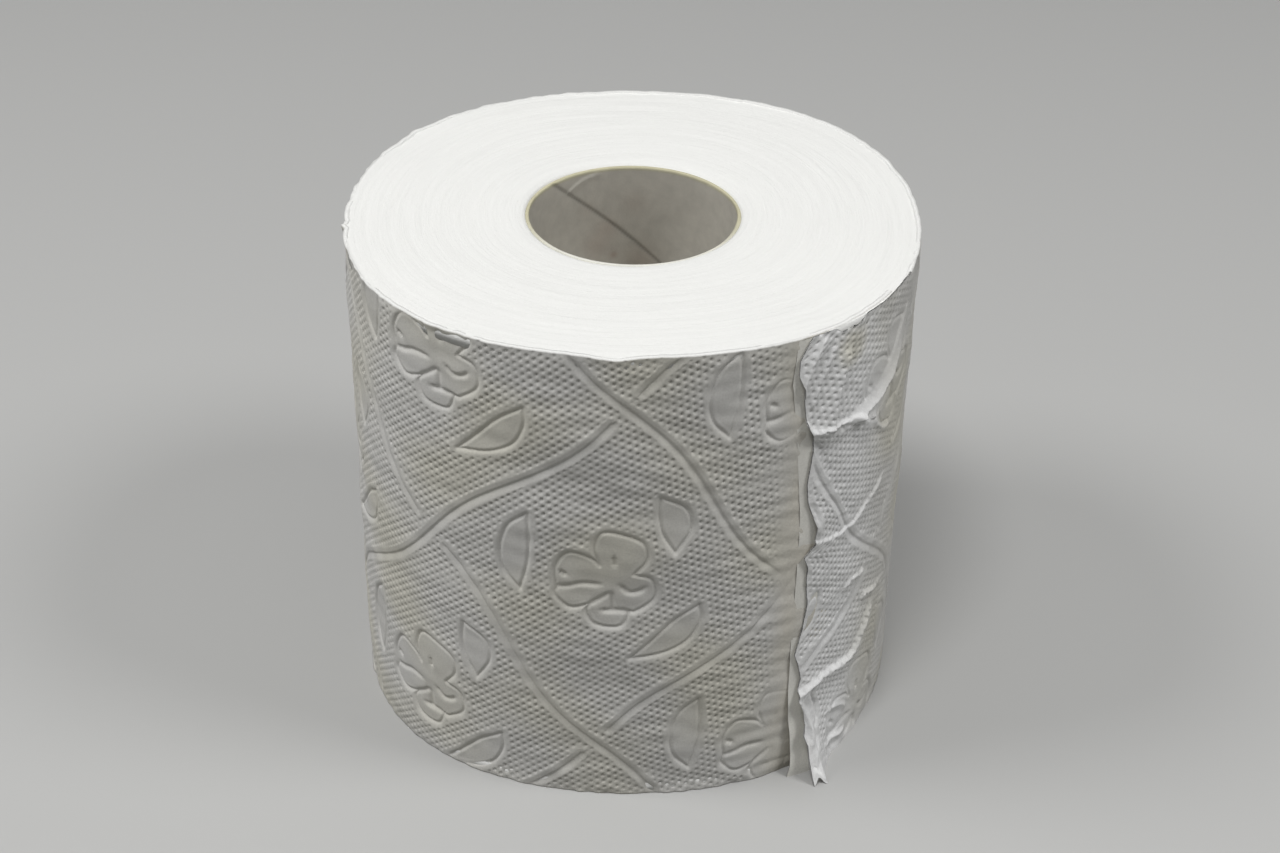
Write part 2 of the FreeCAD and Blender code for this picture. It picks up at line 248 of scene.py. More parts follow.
# Second ply, which shows beside the edge of the free end: heights with arc and stand-off of its edge
SECOND_PLY_EDGE = (
    (0.0, 32.0, 2.7), (2.0, 32.6, 2.4), (5.0, 33.0, 1.8), (9.0, 33.0, 1.2), (13.0, 32.8, 0.8),
    (17.5, 32.6, 0.5), (24.0, 32.8, 0.12), (33.0, 32.8, 0.05), (43.0, 33.0, 0.04), (60.0, 33.0, 0.04),
    (70.0, 32.0, 0.04), (80.0, 31.0, 0.04), (90.0, 29.6, 0.04), (98.6, 30.4, 0.04),
)
SECOND_PLY_FOOT = 5.5           # its foot runs this far to the right of the edge
SECOND_PLY_ROWS = 150
SECOND_PLY_COLUMNS = 16
SECOND_PLY_FLARE = (0.25, 15.0)         # its foot flares to the right by this share, up to this height
SECOND_PLY_TUCK = (0.25, 20.0, 15.0)    # its right side lies this much deeper, from this height, and reach
SECOND_PLY_LEAST = (0.02, 0.08)         # least stand-off at its edge, and how much more the rest has
SECOND_PLY_EDGE_SHARE = 0.25            # share of its width that counts as its edge
SECOND_PLY_WAVE = 0.06
SECOND_PLY_FIELD = ((5.0, 9.0), 51)

# Rims
RIM_DIP = (311.0, 4.2, 0.8)     # along, half width and depth of a sag in the top rim at the front
RIM_DIP_REACH = 2.0             # on the face it fades over this distance
RIM_DIP_HEIGHT = 12.0           # and on the wall over this height
RIM_POINT = (234.5, 1.5, 0.9)   # along, half width and stand-off of a pointed kink at the left
RIM_EVENNESS = (0.85, 1.6)      # near the rims the embossing is flatter by this share, over this height
RIM_WORN = (0.3, 190.0, 70.0)   # least share of the scallops, where along they are whole, half width
TOP_SCALLOP = 0.14
TOP_SCALLOP_HEIGHT = 2.2
TOP_SCALLOP_FIELDS = (((13.0,), 11), ((5.0,), 12))
FOOT_SCALLOP = 0.08
FOOT_SCALLOP_HEIGHT = 1.6
FOOT_SCALLOP_FIELDS = (((11.0,), 13), ((4.0,), 14))
RIM_SAG = 0.06                  # the whole top rim sags unevenly by about this much
RIM_SAG_FIELD = ((9.0,), 41)

# Faces of the roll
FACE_ROW_STEP = 0.45
FACE_COLUMNS = 720
BASE_ROW_STEP = 1.2
BASE_COLUMNS = 300
FACE_DEPTH = 2.5
FACE_INSET = 0.26               # its outer edge lies this far inside the wall
FACE_LEVELS = (0.1, 0.12)       # its mean depth inside the top and the base of the roll
LEAST_CLEARANCE = 0.05          # the base stays this far above the plane it stands on
STEP_SMOOTHING = 8.0            # the step in its outline at the free edge is spread over this arc
EDGE_FALL = (0.1, 1.4)          # how far it falls off at its outer edge, and over what distance
BORE_FALL = (0.8, 1.1)
TURN_RELIEF = 0.03
TURN_SIZES = (2.6, 34.0, 34.0)  # across the turns, and in the plane
FINE_TURN_SIZES = (1.1, 22.0, 22.0)
TURN_WAVES = 24
TURN_GRAIN = (1.6, 0.05, 0.05)  # streaks to the millimetre, across the turns and in the plane
FACE_WAVE = 0.12
FACE_WAVE_SIZES = (38.0, 38.0)
FACE_SEEDS = (61, 71)           # for the top and the base. The two numbers after each are used too

# Core
CORE_COLUMNS = 240
CORE_ROW_STEP = 0.36
COARSE_CORE_ROW_STEP = 1.5
CORE_CHAMFER = 0.12
CORE_RIM_ROUNDING = (0.15, 0.02)    # how far below the rim its outer rounding starts and ends
SEAM_PITCH = 110.0
SEAM_DROP_AT_BACK = 16.2
SEAM_DEPTH = 0.12
SEAM_HALF_WIDTH = 0.3
PLY_STEP = 0.12                 # above the seam the inner ply stands in by this much
PLY_STEP_SLOPE = 0.8
PLY_STEP_REACH = 25.0           # and levels out over this distance
SEAM_SHADE = (0.3, 0.4)         # the seam is darker by this share, over this half width
CORE_WAVE = 0.04
CORE_FIELD = ((16.0, 16.0, 30.0), 81)
RIM_TINT = (1.6, 0.5)           # the rim's colour: its share at the top, and the depth that costs it 1
RIM_PALENESS = 0.7              # the front of the rim takes on this share of the paper's colour
FINE_CORE_DEPTH = 42.0          # the rows of its mesh lie closer together down to here
# Marks inside the core, from its back: arc to the right and depth below its rim
PLY_EDGE = ((-13.7, 3.0), (-12.3, 2.2), (-10.8, 1.5), (-8.0, 0.8))
PLY_EDGE_STEP = (0.12, 2.0)     # height, and how far it takes to level out
PLY_EDGE_LINE = (0.5, 0.25)     # strength and half width of the pale line along it
STAINS = (                      # arc, depth, radius and strength
    (-3.9, 19.5, 0.7, 0.8), (-5.3, 13.2, 2.2, 0.35), (-7.4, 17.0, 3.0, 0.35), (1.5, 21.0, 3.2, 0.35),
    (0.2, 7.8, 2.4, 0.2), (-9.5, 8.5, 2.0, 0.15),
)

# Colours
# The wall's tissue is set darker than the face's paper: its own colour, with painted shade of its embossing in
# it
PAPER = np.array([0.75, 0.74, 0.71])
WARM_PAPER = np.array([0.73, 0.71, 0.63])
# Painted light: the second ply is painted far lighter than the wall, against the shade that the lifted free
# end casts on it
LIT_SECOND_PLY = np.array([0.95, 0.935, 0.87])
SHADED_PAPER = np.array([0.76, 0.74, 0.66])
# Painted light: the free end's tissue is painted lighter than the wall's, for the light through and onto the
# thin free end
LIT_FREE_PAPER = np.array([0.93, 0.93, 0.925])
BEIGE_BAND_PAPER = np.array([0.78, 0.745, 0.66])
FACE_PAPER = np.array([0.86, 0.86, 0.835])
BOARD = np.array([0.57, 0.545, 0.485])
BOARD_EDGE = np.array([0.56, 0.53, 0.37])
PLY_EDGE_LIGHT = np.array([0.80, 0.78, 0.70])
STAIN = np.array([0.45, 0.36, 0.30])
FLOOR_SEEN = (0.52, 0.52, 0.51, 1)
FLOOR_BOUNCE = (0.22, 0.22, 0.21, 1)
WARMTH = (0.35, 0.4)            # mean share of the warm paper, and its spread
WARMTH_FIELD = ((34.0, 24.0), 32)
FREE_END_PAINTED_LIGHT = (26.0, 16.0)        # the free end's painted light ends this far along, and fades over this length
BEIGE_BAND_TINT = (27.0, 5.5)        # pattern arc where the beige band's colour starts, and how far it takes
BEIGE_BAND_PATCHES = (0.85, 0.15)     # mean share of that colour, and its spread
BEIGE_BAND_FIELD = ((9.0, 14.0), 31)

# Light and floor, in metres and watts
WORLD_STRENGTH = 0.12
LIGHT_TARGET = (0, 0, 0.05)
LAMPS = (                       # name, place, size and power
    ("overhead", (0, 0, 1.2), 1.0, 1.6),
    ("front_above", (-0.2, -0.5, 1.25), 0.35, 5.1),
    ("left_above", (-0.72, -0.1, 0.95), 0.4, 4.6),
    ("right_above", (0.72, -0.2, 0.95), 0.4, 4.5),
)
FLOOR_REACH = 3.0

# Camera, as worked out from the photograph's perspective
CAMERA_DISTANCE = 369.3
CAMERA_HEIGHT = 290.9
CAMERA_PITCH = 0.57805
CAMERA_YAW = 0.005349
CAMERA_ROLL = 0.017231
LENS = 61.416
SENSOR = 36.0


def smooth_step(x):
    x = np.clip(x, 0.0, 1.0)
    return x * x * (3 - 2 * x)


def rise(x, start, reach):
    """From 0 up to the start to 1 past the reach."""
    return smooth_step((x - start) / reach)


def bell(x, half_width):
    return np.exp(-((x / half_width) ** 2))


def groove(distance, half_width):
    return np.exp(-((distance / half_width) ** GROOVE_ROUNDNESS))


def lip(distance, height, place, half_width):
    return height * bell(distance - place, half_width)


def ripple(axes, sizes, seed, waves=12):
    """A smooth random field of unit spread: waves of about the given sizes in random directions."""
    draw = np.random.default_rng(seed)
    total = 0.0
    for _ in range(waves):
        heading = draw.normal(size=len(axes))
        heading /= np.linalg.norm(heading)
        phase, stretch = draw.uniform(0, FULL_TURN), draw.uniform(*WAVE_STRETCH)
        turns = sum(h * a / s for h, a, s in zip(heading, axes, sizes))
        total = total + np.sin(FULL_TURN * turns * stretch + phase)
    return total / math.sqrt(waves / 2)


def roll_radius(arc):
    """Radius outside the web at an arc to the right of the front, less one caliper for each turn."""
    from_x = arc / ROLL_RADIUS - math.pi / 2
    lobes = sum(c * np.cos(n * from_x) + s * np.sin(n * from_x) for n, c, s in OUT_OF_ROUND)
    return ROLL_RADIUS + lobes - WEB_CALIPER * (arc - STEP_ARC) / (FULL_TURN * ROLL_RADIUS)


def on_roll(arc, height, stand_off):
    angle = arc / ROLL_RADIUS
    radius = roll_radius(arc) + stand_off
    return np.stack([radius * np.sin(angle), -radius * np.cos(angle), height + 0 * angle], -1)


def pattern_place(along):
    return along + FREE_EDGE_ARC - TURN_LENGTH


def curve_through(points, per_span=6):
    """A Catmull-Rom curve through the given points, which ends at the first and the last."""
    points = np.array(points, float)
    padded = np.vstack([2 * points[0] - points[1], points, 2 * points[-1] - points[-2]])
    run = []
    for before, start, end, after in zip(padded, padded[1:], padded[2:], padded[3:]):
        for t in np.arange(per_span) / per_span:
            run.append(
                0.5 * (2 * start + (end - before) * t + (2 * before - 5 * start + 4 * end - after) * t**2
                       + (3 * start - before - 3 * end + after) * t**3)
            )
    return np.array(run + [points[-1]])


def from_line(x, y, line):
    """Distance to a line of points, which side of it, and the share of the line passed there."""
    nearest = np.full(x.shape, np.inf)
    side = np.zeros(x.shape)
    share = np.zeros(x.shape)
    lengths = np.hypot(*np.diff(line, axis=0).T)
    passed = np.concatenate([[0], np.cumsum(lengths)])
    for k, ((x0, y0), (x1, y1)) in enumerate(zip(line, line[1:])):
        dx, dy = x1 - x0, y1 - y0
        t = np.clip(((x - x0) * dx + (y - y0) * dy) / (lengths[k] ** 2 + TINY), 0, 1)
        distance = np.hypot(x - x0 - t * dx, y - y0 - t * dy)
        closer = distance < nearest
        nearest = np.where(closer, distance, nearest)
        side = np.where(closer, np.sign(dx * (y - y0) - dy * (x - x0)), side)
        share = np.where(closer, (passed[k] + t * lengths[k]) / passed[-1], share)
    return nearest, side, share


def inside_of(x, y, line):
    inside = np.zeros(x.shape, bool)
    for (x0, y0), (x1, y1) in zip(line, np.roll(line, -1, axis=0)):
        if y0 == y1:
            continue
        crosses = (y0 > y) != (y1 > y)
        inside ^= crosses & (x < (x1 - x0) * (y - y0) / (y1 - y0) + x0)
    return inside


def lattice_crossings(low, high):
    """Each crossing of two stems near a range of arcs, with its parity."""
    steps = range(-LATTICE_STEPS, LATTICE_STEPS + 1)
    for i in steps:
        for j in steps:
            arc = LATTICE_START[0] + i * FALLING_STEP[0] + j * RISING_STEP[0]
            height = LATTICE_START[1] + i * FALLING_STEP[1] + j * RISING_STEP[1]
            beside = low - LATTICE_MARGIN < arc < high + LATTICE_MARGIN
            if beside and -LATTICE_MARGIN < height < SHEET_WIDTH + LATTICE_MARGIN:
                yield arc, height, (i + j) % 2


def window(axis, low, high):
    return slice(np.searchsorted(axis, low), np.searchsorted(axis, high))


def stem_distance(arcs, heights):
    """Distance of each point of a grid from the nearest stem, less than 0 below it."""
    nearest = np.full((len(arcs), len(heights)), np.inf)
    for arc, height, parity in lattice_crossings(arcs[0], arcs[-1]):
        rising = (RISING_STEP, RISING_WAVE, parity == 0)
        falling = (FALLING_STEP, FALLING_WAVE, parity == 1)
        for step, wave, runs_through in (rising, falling):
            length = math.hypot(*step)
            ax, ay = step[0] / length, step[1] / length
            start, end = (-STEM_OVERRUN, STEM_GAP) if runs_through else (STEM_GAP, -STEM_OVERRUN)
            lower, upper = sorted((height, height + step[1]))
            columns = window(arcs, arc - STEM_REACH, arc + step[0] + STEM_REACH)
            rows = window(heights, lower - STEM_REACH, upper + STEM_REACH)
            x, y = np.meshgrid(arcs[columns] - arc, heights[rows] - height, indexing="ij")
            if not x.size:
                continue
            along, across = x * ax + y * ay, y * ax - x * ay
            held = np.clip(along, start, length - end)
            phase = FULL_TURN * held / length
            slope = FULL_TURN * wave / length * np.cos(phase)
            aside = (across - wave * np.sin(phase)) / np.sqrt(1 + slope**2)
            distance = np.copysign(np.hypot(aside, along - held), aside)
            part = nearest[columns, rows]
            nearest[columns, rows] = np.where(np.abs(distance) < np.abs(part), distance, part)
    return nearest


def motif_outlines():
    flower = []
    for petal, following in zip(PETALS, PETALS[1:] + PETALS[:1]):
        flower.extend(curve_through(petal + following[:1])[:-1])
    outlines = [np.array(flower)]
    for side, back in LEAVES:
        there = curve_through(side)[:-1]
        home = curve_through((side[-1],) + back + side[:1])[:-1]
        outlines.append(np.vstack([there, home]))
    return outlines


def press_motifs(arcs, heights, relief, field):
    """Presses each flower and leaf into the relief, and clears the dotted field around it."""
    outlines = motif_outlines()
    creases = [curve_through(points, per_span=4) for points in PETAL_CREASES]
    for arc, height, _ in lattice_crossings(arcs[0], arcs[-1]):
        centre_arc = arc + (FALLING_STEP[0] + RISING_STEP[0]) / 2
        centre_height = height + (FALLING_STEP[1] + RISING_STEP[1]) / 2
        for outline in outlines:
            low, high = outline.min(0) - MOTIF_REACH, outline.max(0) + MOTIF_REACH
            columns = window(arcs, centre_arc + low[0], centre_arc + high[0])
            rows = window(heights, centre_height + low[1], centre_height + high[1])
            x, y = np.meshgrid(arcs[columns] - centre_arc, heights[rows] - centre_height, indexing="ij")
            if not x.size:
                continue
            closed = np.vstack([outline, outline[:1]])
            distance = from_line(x, y, closed)[0]
            inside = inside_of(x, y, outline)
            outer = np.where(inside, -distance, distance)
            pressed = -MOTIF_DEPTH * groove(distance, MOTIF_HALF_WIDTH)
            pressed -= MOTIF_SINK * smooth_step(-outer / MOTIF_SINK_REACH)
            pressed += lip(outer, *MOTIF_LIP)
            if outline is outlines[0]:
                for crease in creases:
                    gap, _, share = from_line(x, y, crease)
                    from_end = np.minimum(share, 1 - share)
                    taper = smooth_step(from_end / CREASE_END_LENGTH + CREASE_END_DEPTH)
                    pressed -= CREASE_DEPTH * taper * bell(gap, CREASE_HALF_WIDTH) * inside
            relief[columns, rows] += pressed
            field[columns, rows] *= rise(outer, *MOTIF_MARGIN)


def pin_dots(arcs, heights):
    """Depth of the pin dots, from 0 to 1: three waves along the rows of their lattice."""
    rows = np.array([PIN_ROW_A, PIN_ROW_B])
    first, second = np.linalg.inv(rows).T
    x, y = np.meshgrid(arcs, heights, indexing="ij")
    total = 0.0
    for wave in (first, second, first + second):
        total = total + np.cos(FULL_TURN * (wave[0] * x + wave[1] * y))
    lowest, highest = -1.5, 3.0
    return ((total - lowest) / (highest - lowest)) ** PIN_SHARPNESS


def emboss(arcs, heights):
    """Relief of the embossed web on a grid of pattern arcs and heights, and where its pin dots are."""
    signed = stem_distance(arcs, heights)
    stems = np.abs(signed)
    relief = -STEM_DEPTH * groove(stems, np.where(signed > 0, *STEM_HALF_WIDTHS))
    relief += lip(stems, *STEM_LIP)
    field = rise(stems, *STEM_MARGIN)
    press_motifs(arcs, heights, relief, field)
    x, y = np.meshgrid(arcs, heights, indexing="ij")
    glued = rise(x, *GLUED_BAND)
    relief *= 1 - GLUED_FLATNESS * glued
    field *= 1 - GLUED_DOT_LOSS * glued
    dots = field * pin_dots(arcs, heights)
    relief -= PIN_DEPTH * (1 + PIN_UNEVENNESS * ripple((x, y), *PIN_FIELD)) * dots
    sway = PUCKER_SWAY * np.sin(x / PUCKER_SWAY_LENGTH)
    puckers = np.sin(FULL_TURN * y / PUCKER_PITCH + sway)
    relief += PUCKER_HEIGHT * bell(x - PUCKER_PLACE, PUCKER_HALF_WIDTH) * puckers
    relief += SLACK * ripple((x, y), *SLACK_FIELD)
    relief += FINE_SLACK * ripple((x, y), *FINE_SLACK_FIELD)
    return relief, dots


def scallops(along, fields):
    coarse, fine = fields
    return ripple((along,), *coarse) + FINER_SHARE * ripple((along,), *fine)


def rim_wear(along, height):
    """Small scallops of the rims, deepest at the left and the back, which fade away from them."""
    least, place, half_width = RIM_WORN
    worn = least + (1 - least) * bell(along - place, half_width)
    place, half_width, size = RIM_POINT
    point = size * np.clip(1 - np.abs(along - place) / half_width, 0, None)
    top = TOP_SCALLOP * worn * scallops(along, TOP_SCALLOP_FIELDS) + point
    foot = FOOT_SCALLOP * scallops(along, FOOT_SCALLOP_FIELDS)
    near_top = np.exp((height - SHEET_WIDTH) / TOP_SCALLOP_HEIGHT)
    near_foot = np.exp(-height / FOOT_SCALLOP_HEIGHT)
    return top * near_top + foot * near_foot


def by_table(table, at):
    places, values = np.array(table).T
    return np.interp(at, places, values)


def oval(arc, height, centre_arc, centre_height, half_width, half_height):
    """Square of the distance from an oval's middle, which is 1 on the oval."""
    return ((arc - centre_arc) / half_width) ** 2 + ((height - centre_height) / half_height) ** 2


def crinkles(arc, height):
    coarse = np.abs(ripple((arc, height), (CRINKLE_SIZE, CRINKLE_SIZE), CRINKLE_SEED))
    fine = np.abs(ripple((arc, height), (FINE_CRINKLE_SIZE, FINE_CRINKLE_SIZE), FINE_CRINKLE_SEED))
    return CRINKLE_HEIGHT * (CRINKLE_CREST - coarse + FINE_CRINKLE_SHARE * (1 - fine))


def crumple(arc, height, along):
    """Stand-off of the free end over the turn below it, and how far its folds pull it smooth."""
    stand_off = by_table(EDGE_LIFT, height) * bell(along, LIFT_REACH)
    stand_off += by_table(FOOT_LIFT, arc) * np.clip(1 - height / FOOT_HEIGHT, 0, 1) ** FOOT_CURVE
    smooth = 0 * arc
    for size, reach_left, reach_right, points in FREE_END_CREASES:
        gap, side, share = from_line(arc, height, curve_through(points, per_span=3))
        gap = np.hypot(gap, CREASE_ROUNDING) - CREASE_ROUNDING
        near = np.clip(1 - gap / np.where(side > 0, reach_left, reach_right), 0, None)
        taper = smooth_step((1 - share) / CREASE_TAPER)
        stand_off += size * taper * near**CREASE_SHARPNESS
        if size > FOLD_HEIGHT:
            smooth = np.maximum(smooth, taper * smooth_step(FOLD_SMOOTHNESS * near) * (side > 0))
    *place, size = EDGE_BLISTER
    stand_off += size * np.exp(-oval(arc, height, *place))
    stand_off += crinkles(arc, height)
    fade = smooth_step((FREE_END_LENGTH - along) / FREE_END_FADE)
    return np.maximum(stand_off * fade, 0), smooth


def row_tangents(loops):
    """Mean direction of the two sides at each point of each closed loop."""
    ahead = np.roll(loops, -1, axis=1) - loops
    ahead /= np.linalg.norm(ahead, axis=2, keepdims=True) + TINY
    return ahead + np.roll(ahead, 1, axis=1)


def loop_normals(loops, joined):
    if joined:
        across = np.roll(loops, -1, axis=0) - np.roll(loops, 1, axis=0)
    else:
        across = np.gradient(loops, axis=0)
    normals = np.cross(across, row_tangents(loops))
    return normals / (np.linalg.norm(normals, axis=2, keepdims=True) + TINY)


def swept_mesh(name, loops, normals, ends, tints):
    """A closed mesh through a run of closed loops. Its ends are joined, capped, or laced where the
    second half of each loop runs back under the first half."""
    columns, rows = loops.shape[:2]
    index = np.arange(columns * rows).reshape(columns, rows)
    if ends == "joined":
        index = np.vstack([index, index[:1]])
    wrapped = np.hstack([index, index[:, :1]])
    corners = [wrapped[:-1, :-1], wrapped[1:, :-1], wrapped[1:, 1:], wrapped[:-1, 1:]]
    faces = [np.stack(corners, -1).reshape(-1, 4)]
    caps = []
    if ends == "capped":
        caps = [index[0][::-1], index[-1]]
    if ends == "laced":
        for ring in (index[0][::-1], index[-1]):
            outer, inner = ring[:rows // 2], ring[rows // 2:][::-1]
            faces.append(np.stack([outer[:-1], outer[1:], inner[1:], inner[:-1]], -1))
    quads = np.vstack(faces)
    loop_count = quads.size + sum(len(cap) for cap in caps)
    mesh = bpy.data.meshes.new(name)
    mesh.vertices.add(columns * rows)
    mesh.vertices.foreach_set("co", (loops * MM).astype(np.float32).ravel())
    mesh.loops.add(loop_count)
    mesh.loops.foreach_set("vertex_index", np.concatenate([quads.ravel()] + caps).astype(np.int32))
    cap_starts = quads.size + np.cumsum([0] + [len(cap) for cap in caps])[:-1]
    starts = np.concatenate([np.arange(len(quads)) * 4, cap_starts])
    mesh.polygons.add(len(quads) + len(caps))
    mesh.polygons.foreach_set("loop_start", starts.astype(np.int32))
    mesh.update(calc_edges=True)
    mesh.shade_smooth()
    mesh.normals_split_custom_set_from_vertices(normals.reshape(-1, 3).astype(np.float32))
    tint = mesh.color_attributes.new("tint", "FLOAT_COLOR", "POINT")
    rgba = np.concatenate([tints, np.ones(tints.shape[:2] + (1,))], -1)
    tint.data.foreach_set("color", rgba.astype(np.float32).ravel())
    piece = bpy.data.objects.new(name, mesh)
    bpy.context.scene.collection.objects.link(piece)
    return piece


def dress(piece, material, slot, *nodes):
    piece.data.materials.append(material)
    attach(piece, "root")
    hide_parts(*nodes)


def mix(first, second, share):
    return first + (second - first) * share[..., None]


def web_tints(arc, pattern_arc, height, along):
    mean, spread = WARMTH
    warmth = np.clip(mean + spread * ripple((pattern_arc, height), *WARMTH_FIELD), 0, 1)
    tint = mix(PAPER, WARM_PAPER, warmth)
    # Painted light: the free end is painted lighter over its length
    tint_end, fade = FREE_END_PAINTED_LIGHT
    tint = mix(tint, LIT_FREE_PAPER, smooth_step((tint_end - along) / fade))
    # Painted shade: a patch under the dip in the free end's top edge is painted darker and yellower
    tint = mix(tint, SHADED_PAPER, np.exp(-(oval(arc, height, *SHADED_PATCH) ** 2)))
    mean, spread = BEIGE_BAND_PATCHES
    patchy = np.clip(mean + spread * ripple((pattern_arc, height), *BEIGE_BAND_FIELD), 0, 1)
    return mix(tint, BEIGE_BAND_PAPER, rise(pattern_arc, *BEIGE_BAND_TINT) * patchy)


def grid_line(start, end, spacing):
    """Places from start to end, twice as many as the mesh has columns or rows."""
    return np.linspace(start, end, 2 * int((end - start) / spacing) + 1)


def perforations(along, height):
    """Depth of the lines of perforations, which leave ties between the sheets."""
    cut = np.sin(FULL_TURN * height / PERFORATION_PITCH) > PERFORATION_TIE
    lines = sum(bell(along - place, PERFORATION_HALF_WIDTH) for place in (SHEET_LENGTH, 2 * SHEET_LENGTH))
    return PERFORATION_DEPTH * lines * cut


def loosen(relief, dots, along, heights, arc, w, v):
    """The free end's relief and dots: plain dots where it is pulled flat, and all of its folds."""
    last_arc, least_height = PULLED_FLAT
    flat = smooth_step((last_arc - arc) / PULLED_FLAT_EDGE) * rise(v, least_height, PULLED_FLAT_EDGE)
    plain = pin_dots(along, heights)
    relief = relief * (1 - flat) - PIN_DEPTH * plain * flat
    loose, smooth = crumple(arc, v, w)
    kept = smooth_step(w / EDGE_SMOOTH) * (1 - smooth)
    return relief * kept + loose, (dots * (1 - flat) + plain * flat) * kept


def web_surface(along, heights, crumpled):
    """Points and tints of the outside of the web."""
    relief, dots = emboss(pattern_place(along), heights)
    w, v = np.meshgrid(along, heights, indexing="ij")
    from_edge = (by_table(FREE_EDGE, v) - FREE_EDGE_ARC) * smooth_step(1 - w / EDGE_REACH)
    arc = w + FREE_EDGE_ARC + from_edge
    flatter, height = RIM_EVENNESS
    relief *= 1 - flatter * smooth_step(1 - np.minimum(v, SHEET_WIDTH - v) / height)
    if crumpled:
        relief, dots = loosen(relief, dots, along, heights, arc, w, v)
    sink, start, reach = HIDDEN_SINK
    stand_off = relief + rim_wear(w, v) - perforations(w, v) - sink * rise(w, TURN_LENGTH + start, reach)
    place, half_width, depth = RIM_DIP
    drop = depth * bell(w - place, half_width) + RIM_SAG * np.abs(ripple((w,), *RIM_SAG_FIELD))
    lifted = 0 * v
    if crumpled:
        (dip_from, dip_to, dip), (slope_in, slope_out) = TOP_DIP, TOP_DIP_SLOPES
        drop += dip * rise(arc, dip_from, slope_in) * smooth_step((dip_to - arc) / slope_out)
        place, half_width, notch = FOOT_NOTCH
        lifted = notch * bell(arc - place, half_width) * smooth_step(1 - v / FOOT_NOTCH_REACH)
    near_top = rise(v, SHEET_WIDTH - RIM_DIP_HEIGHT, RIM_DIP_HEIGHT)
    # Painted shade: the pin dots are painted darker, for the shade in their pits
    tints = web_tints(arc, pattern_place(w), v, w) * (1 - PIN_SHADE * dots[..., None])
    return on_roll(arc, v - drop * near_top + lifted, stand_off), tints


def build_wall(material):
    """The last turn of the web but for its free end, as thin closed shells with turned-in rims."""
    starts = [start for start, _ in WALL_PIECES]
    ends = starts[1:] + [TURN_LENGTH + HIDDEN_END]
    for k, (end, (start, spacing)) in enumerate(zip(ends, WALL_PIECES)):
        outer, tints = web_surface(grid_line(start, end, spacing), grid_line(0, SHEET_WIDTH, spacing), False)
        inward = outer * (1, 1, 0) / np.linalg.norm(outer[..., :2], axis=2, keepdims=True)
        rim = outer[:, -1:] - inward[:, -1:] * LIP_WIDTH - (0, 0, LIP_DROP)
        foot = outer[:, :1] - inward[:, :1] * LIP_WIDTH
        loops = np.concatenate([outer, rim, foot], axis=1)
        tints[:, -1] = FACE_PAPER
        tints = np.concatenate([tints, tints[:, -1:], tints[:, :1]], axis=1)
        normals = loop_normals(loops, False)
        # The normals come from a grid of half the spacing, of which every other point is kept
        rows = list(range(0, outer.shape[1], 2)) + [outer.shape[1], outer.shape[1] + 1]
        loops, normals, tints = loops[::2, rows], normals[::2, rows], tints[::2, rows]
        piece = swept_mesh(f"last_turn_{k + 1}", loops, normals, "capped", tints)
        dress(piece, material, "tissue", "wound_paper")


def both_sides(name, outer, normals, tints, thickness, material, lowest=-math.inf):
    """A closed sheet of a thickness under its outer side, with its inner side cut off at the lowest height."""
    inner = outer - normals * thickness
    inner[..., 2] = np.maximum(inner[..., 2], lowest)
    loops = np.concatenate([outer, inner[:, ::-1]], axis=1)
    normals = np.concatenate([normals, -normals[:, ::-1]], axis=1)
    piece = swept_mesh(name, loops, normals, "laced", np.concatenate([tints, tints[:, ::-1]], axis=1))
    dress(piece, material, "tissue", "wound_paper")


def sheet_normals(surface):
    normals = np.cross(np.gradient(surface, axis=0), np.gradient(surface, axis=1))
    return normals / np.linalg.norm(normals, axis=2, keepdims=True)


def build_free_end(material):
    """The crumpled free end, a sheet with two sides."""
    along = grid_line(0, FREE_END_LENGTH + FREE_SPACING, FREE_SPACING)
    outer, tints = web_surface(along, grid_line(0, SHEET_WIDTH, FREE_SPACING), True)
    # As in the wall, every other point is kept
    outer, normals, tints = outer[::2, ::2], sheet_normals(outer)[::2, ::2], tints[::2, ::2]
    both_sides("free_end", outer, normals, tints, PLY_THICKNESS, material, lowest=0.0)


def build_second_ply(material):
    """The ply under the free end, which shows as a plain strip along its edge and a corner at its foot."""
    heights, edge_arcs, stand_offs = np.array(SECOND_PLY_EDGE).T
    v = np.linspace(0, heights[-1], SECOND_PLY_ROWS)
    share = np.linspace(0, 1, SECOND_PLY_COLUMNS)
    s, z = np.meshgrid(share, v, indexing="ij")
    arc = np.interp(z, heights, edge_arcs) + s * SECOND_PLY_FOOT
    flare, flare_height = SECOND_PLY_FLARE
    tuck, tuck_start, tuck_reach = SECOND_PLY_TUCK
    lift = np.interp(z, heights, stand_offs) * (1 + flare * s * smooth_step(1 - z / flare_height))
    lift += SECOND_PLY_WAVE * ripple((arc, z), *SECOND_PLY_FIELD) - tuck * s * rise(z, tuck_start, tuck_reach)
    least, more = SECOND_PLY_LEAST
    lift = np.maximum(lift, least + more * smooth_step(s / SECOND_PLY_EDGE_SHARE))
    outer = on_roll(arc, z, lift - WEB_CALIPER)
    # Painted light: the strip is painted lighter, against the free end's shade on it
    tints = np.broadcast_to(LIT_SECOND_PLY, outer.shape)
    both_sides("second_ply", outer, sheet_normals(outer), tints, PLY_THICKNESS / 2, material)


def face_edge_radius(angle):
    """Radius at which a face of the roll ends, with the step of the last turn smoothed."""
    arc = angle * ROLL_RADIUS
    past = (arc - STEP_ARC) % (FULL_TURN * ROLL_RADIUS)
    smoothed = past * smooth_step(past / STEP_SMOOTHING)
    shift = WEB_CALIPER * (past - smoothed) / (FULL_TURN * ROLL_RADIUS)
    return roll_radius(past + STEP_ARC) - FACE_INSET - shift


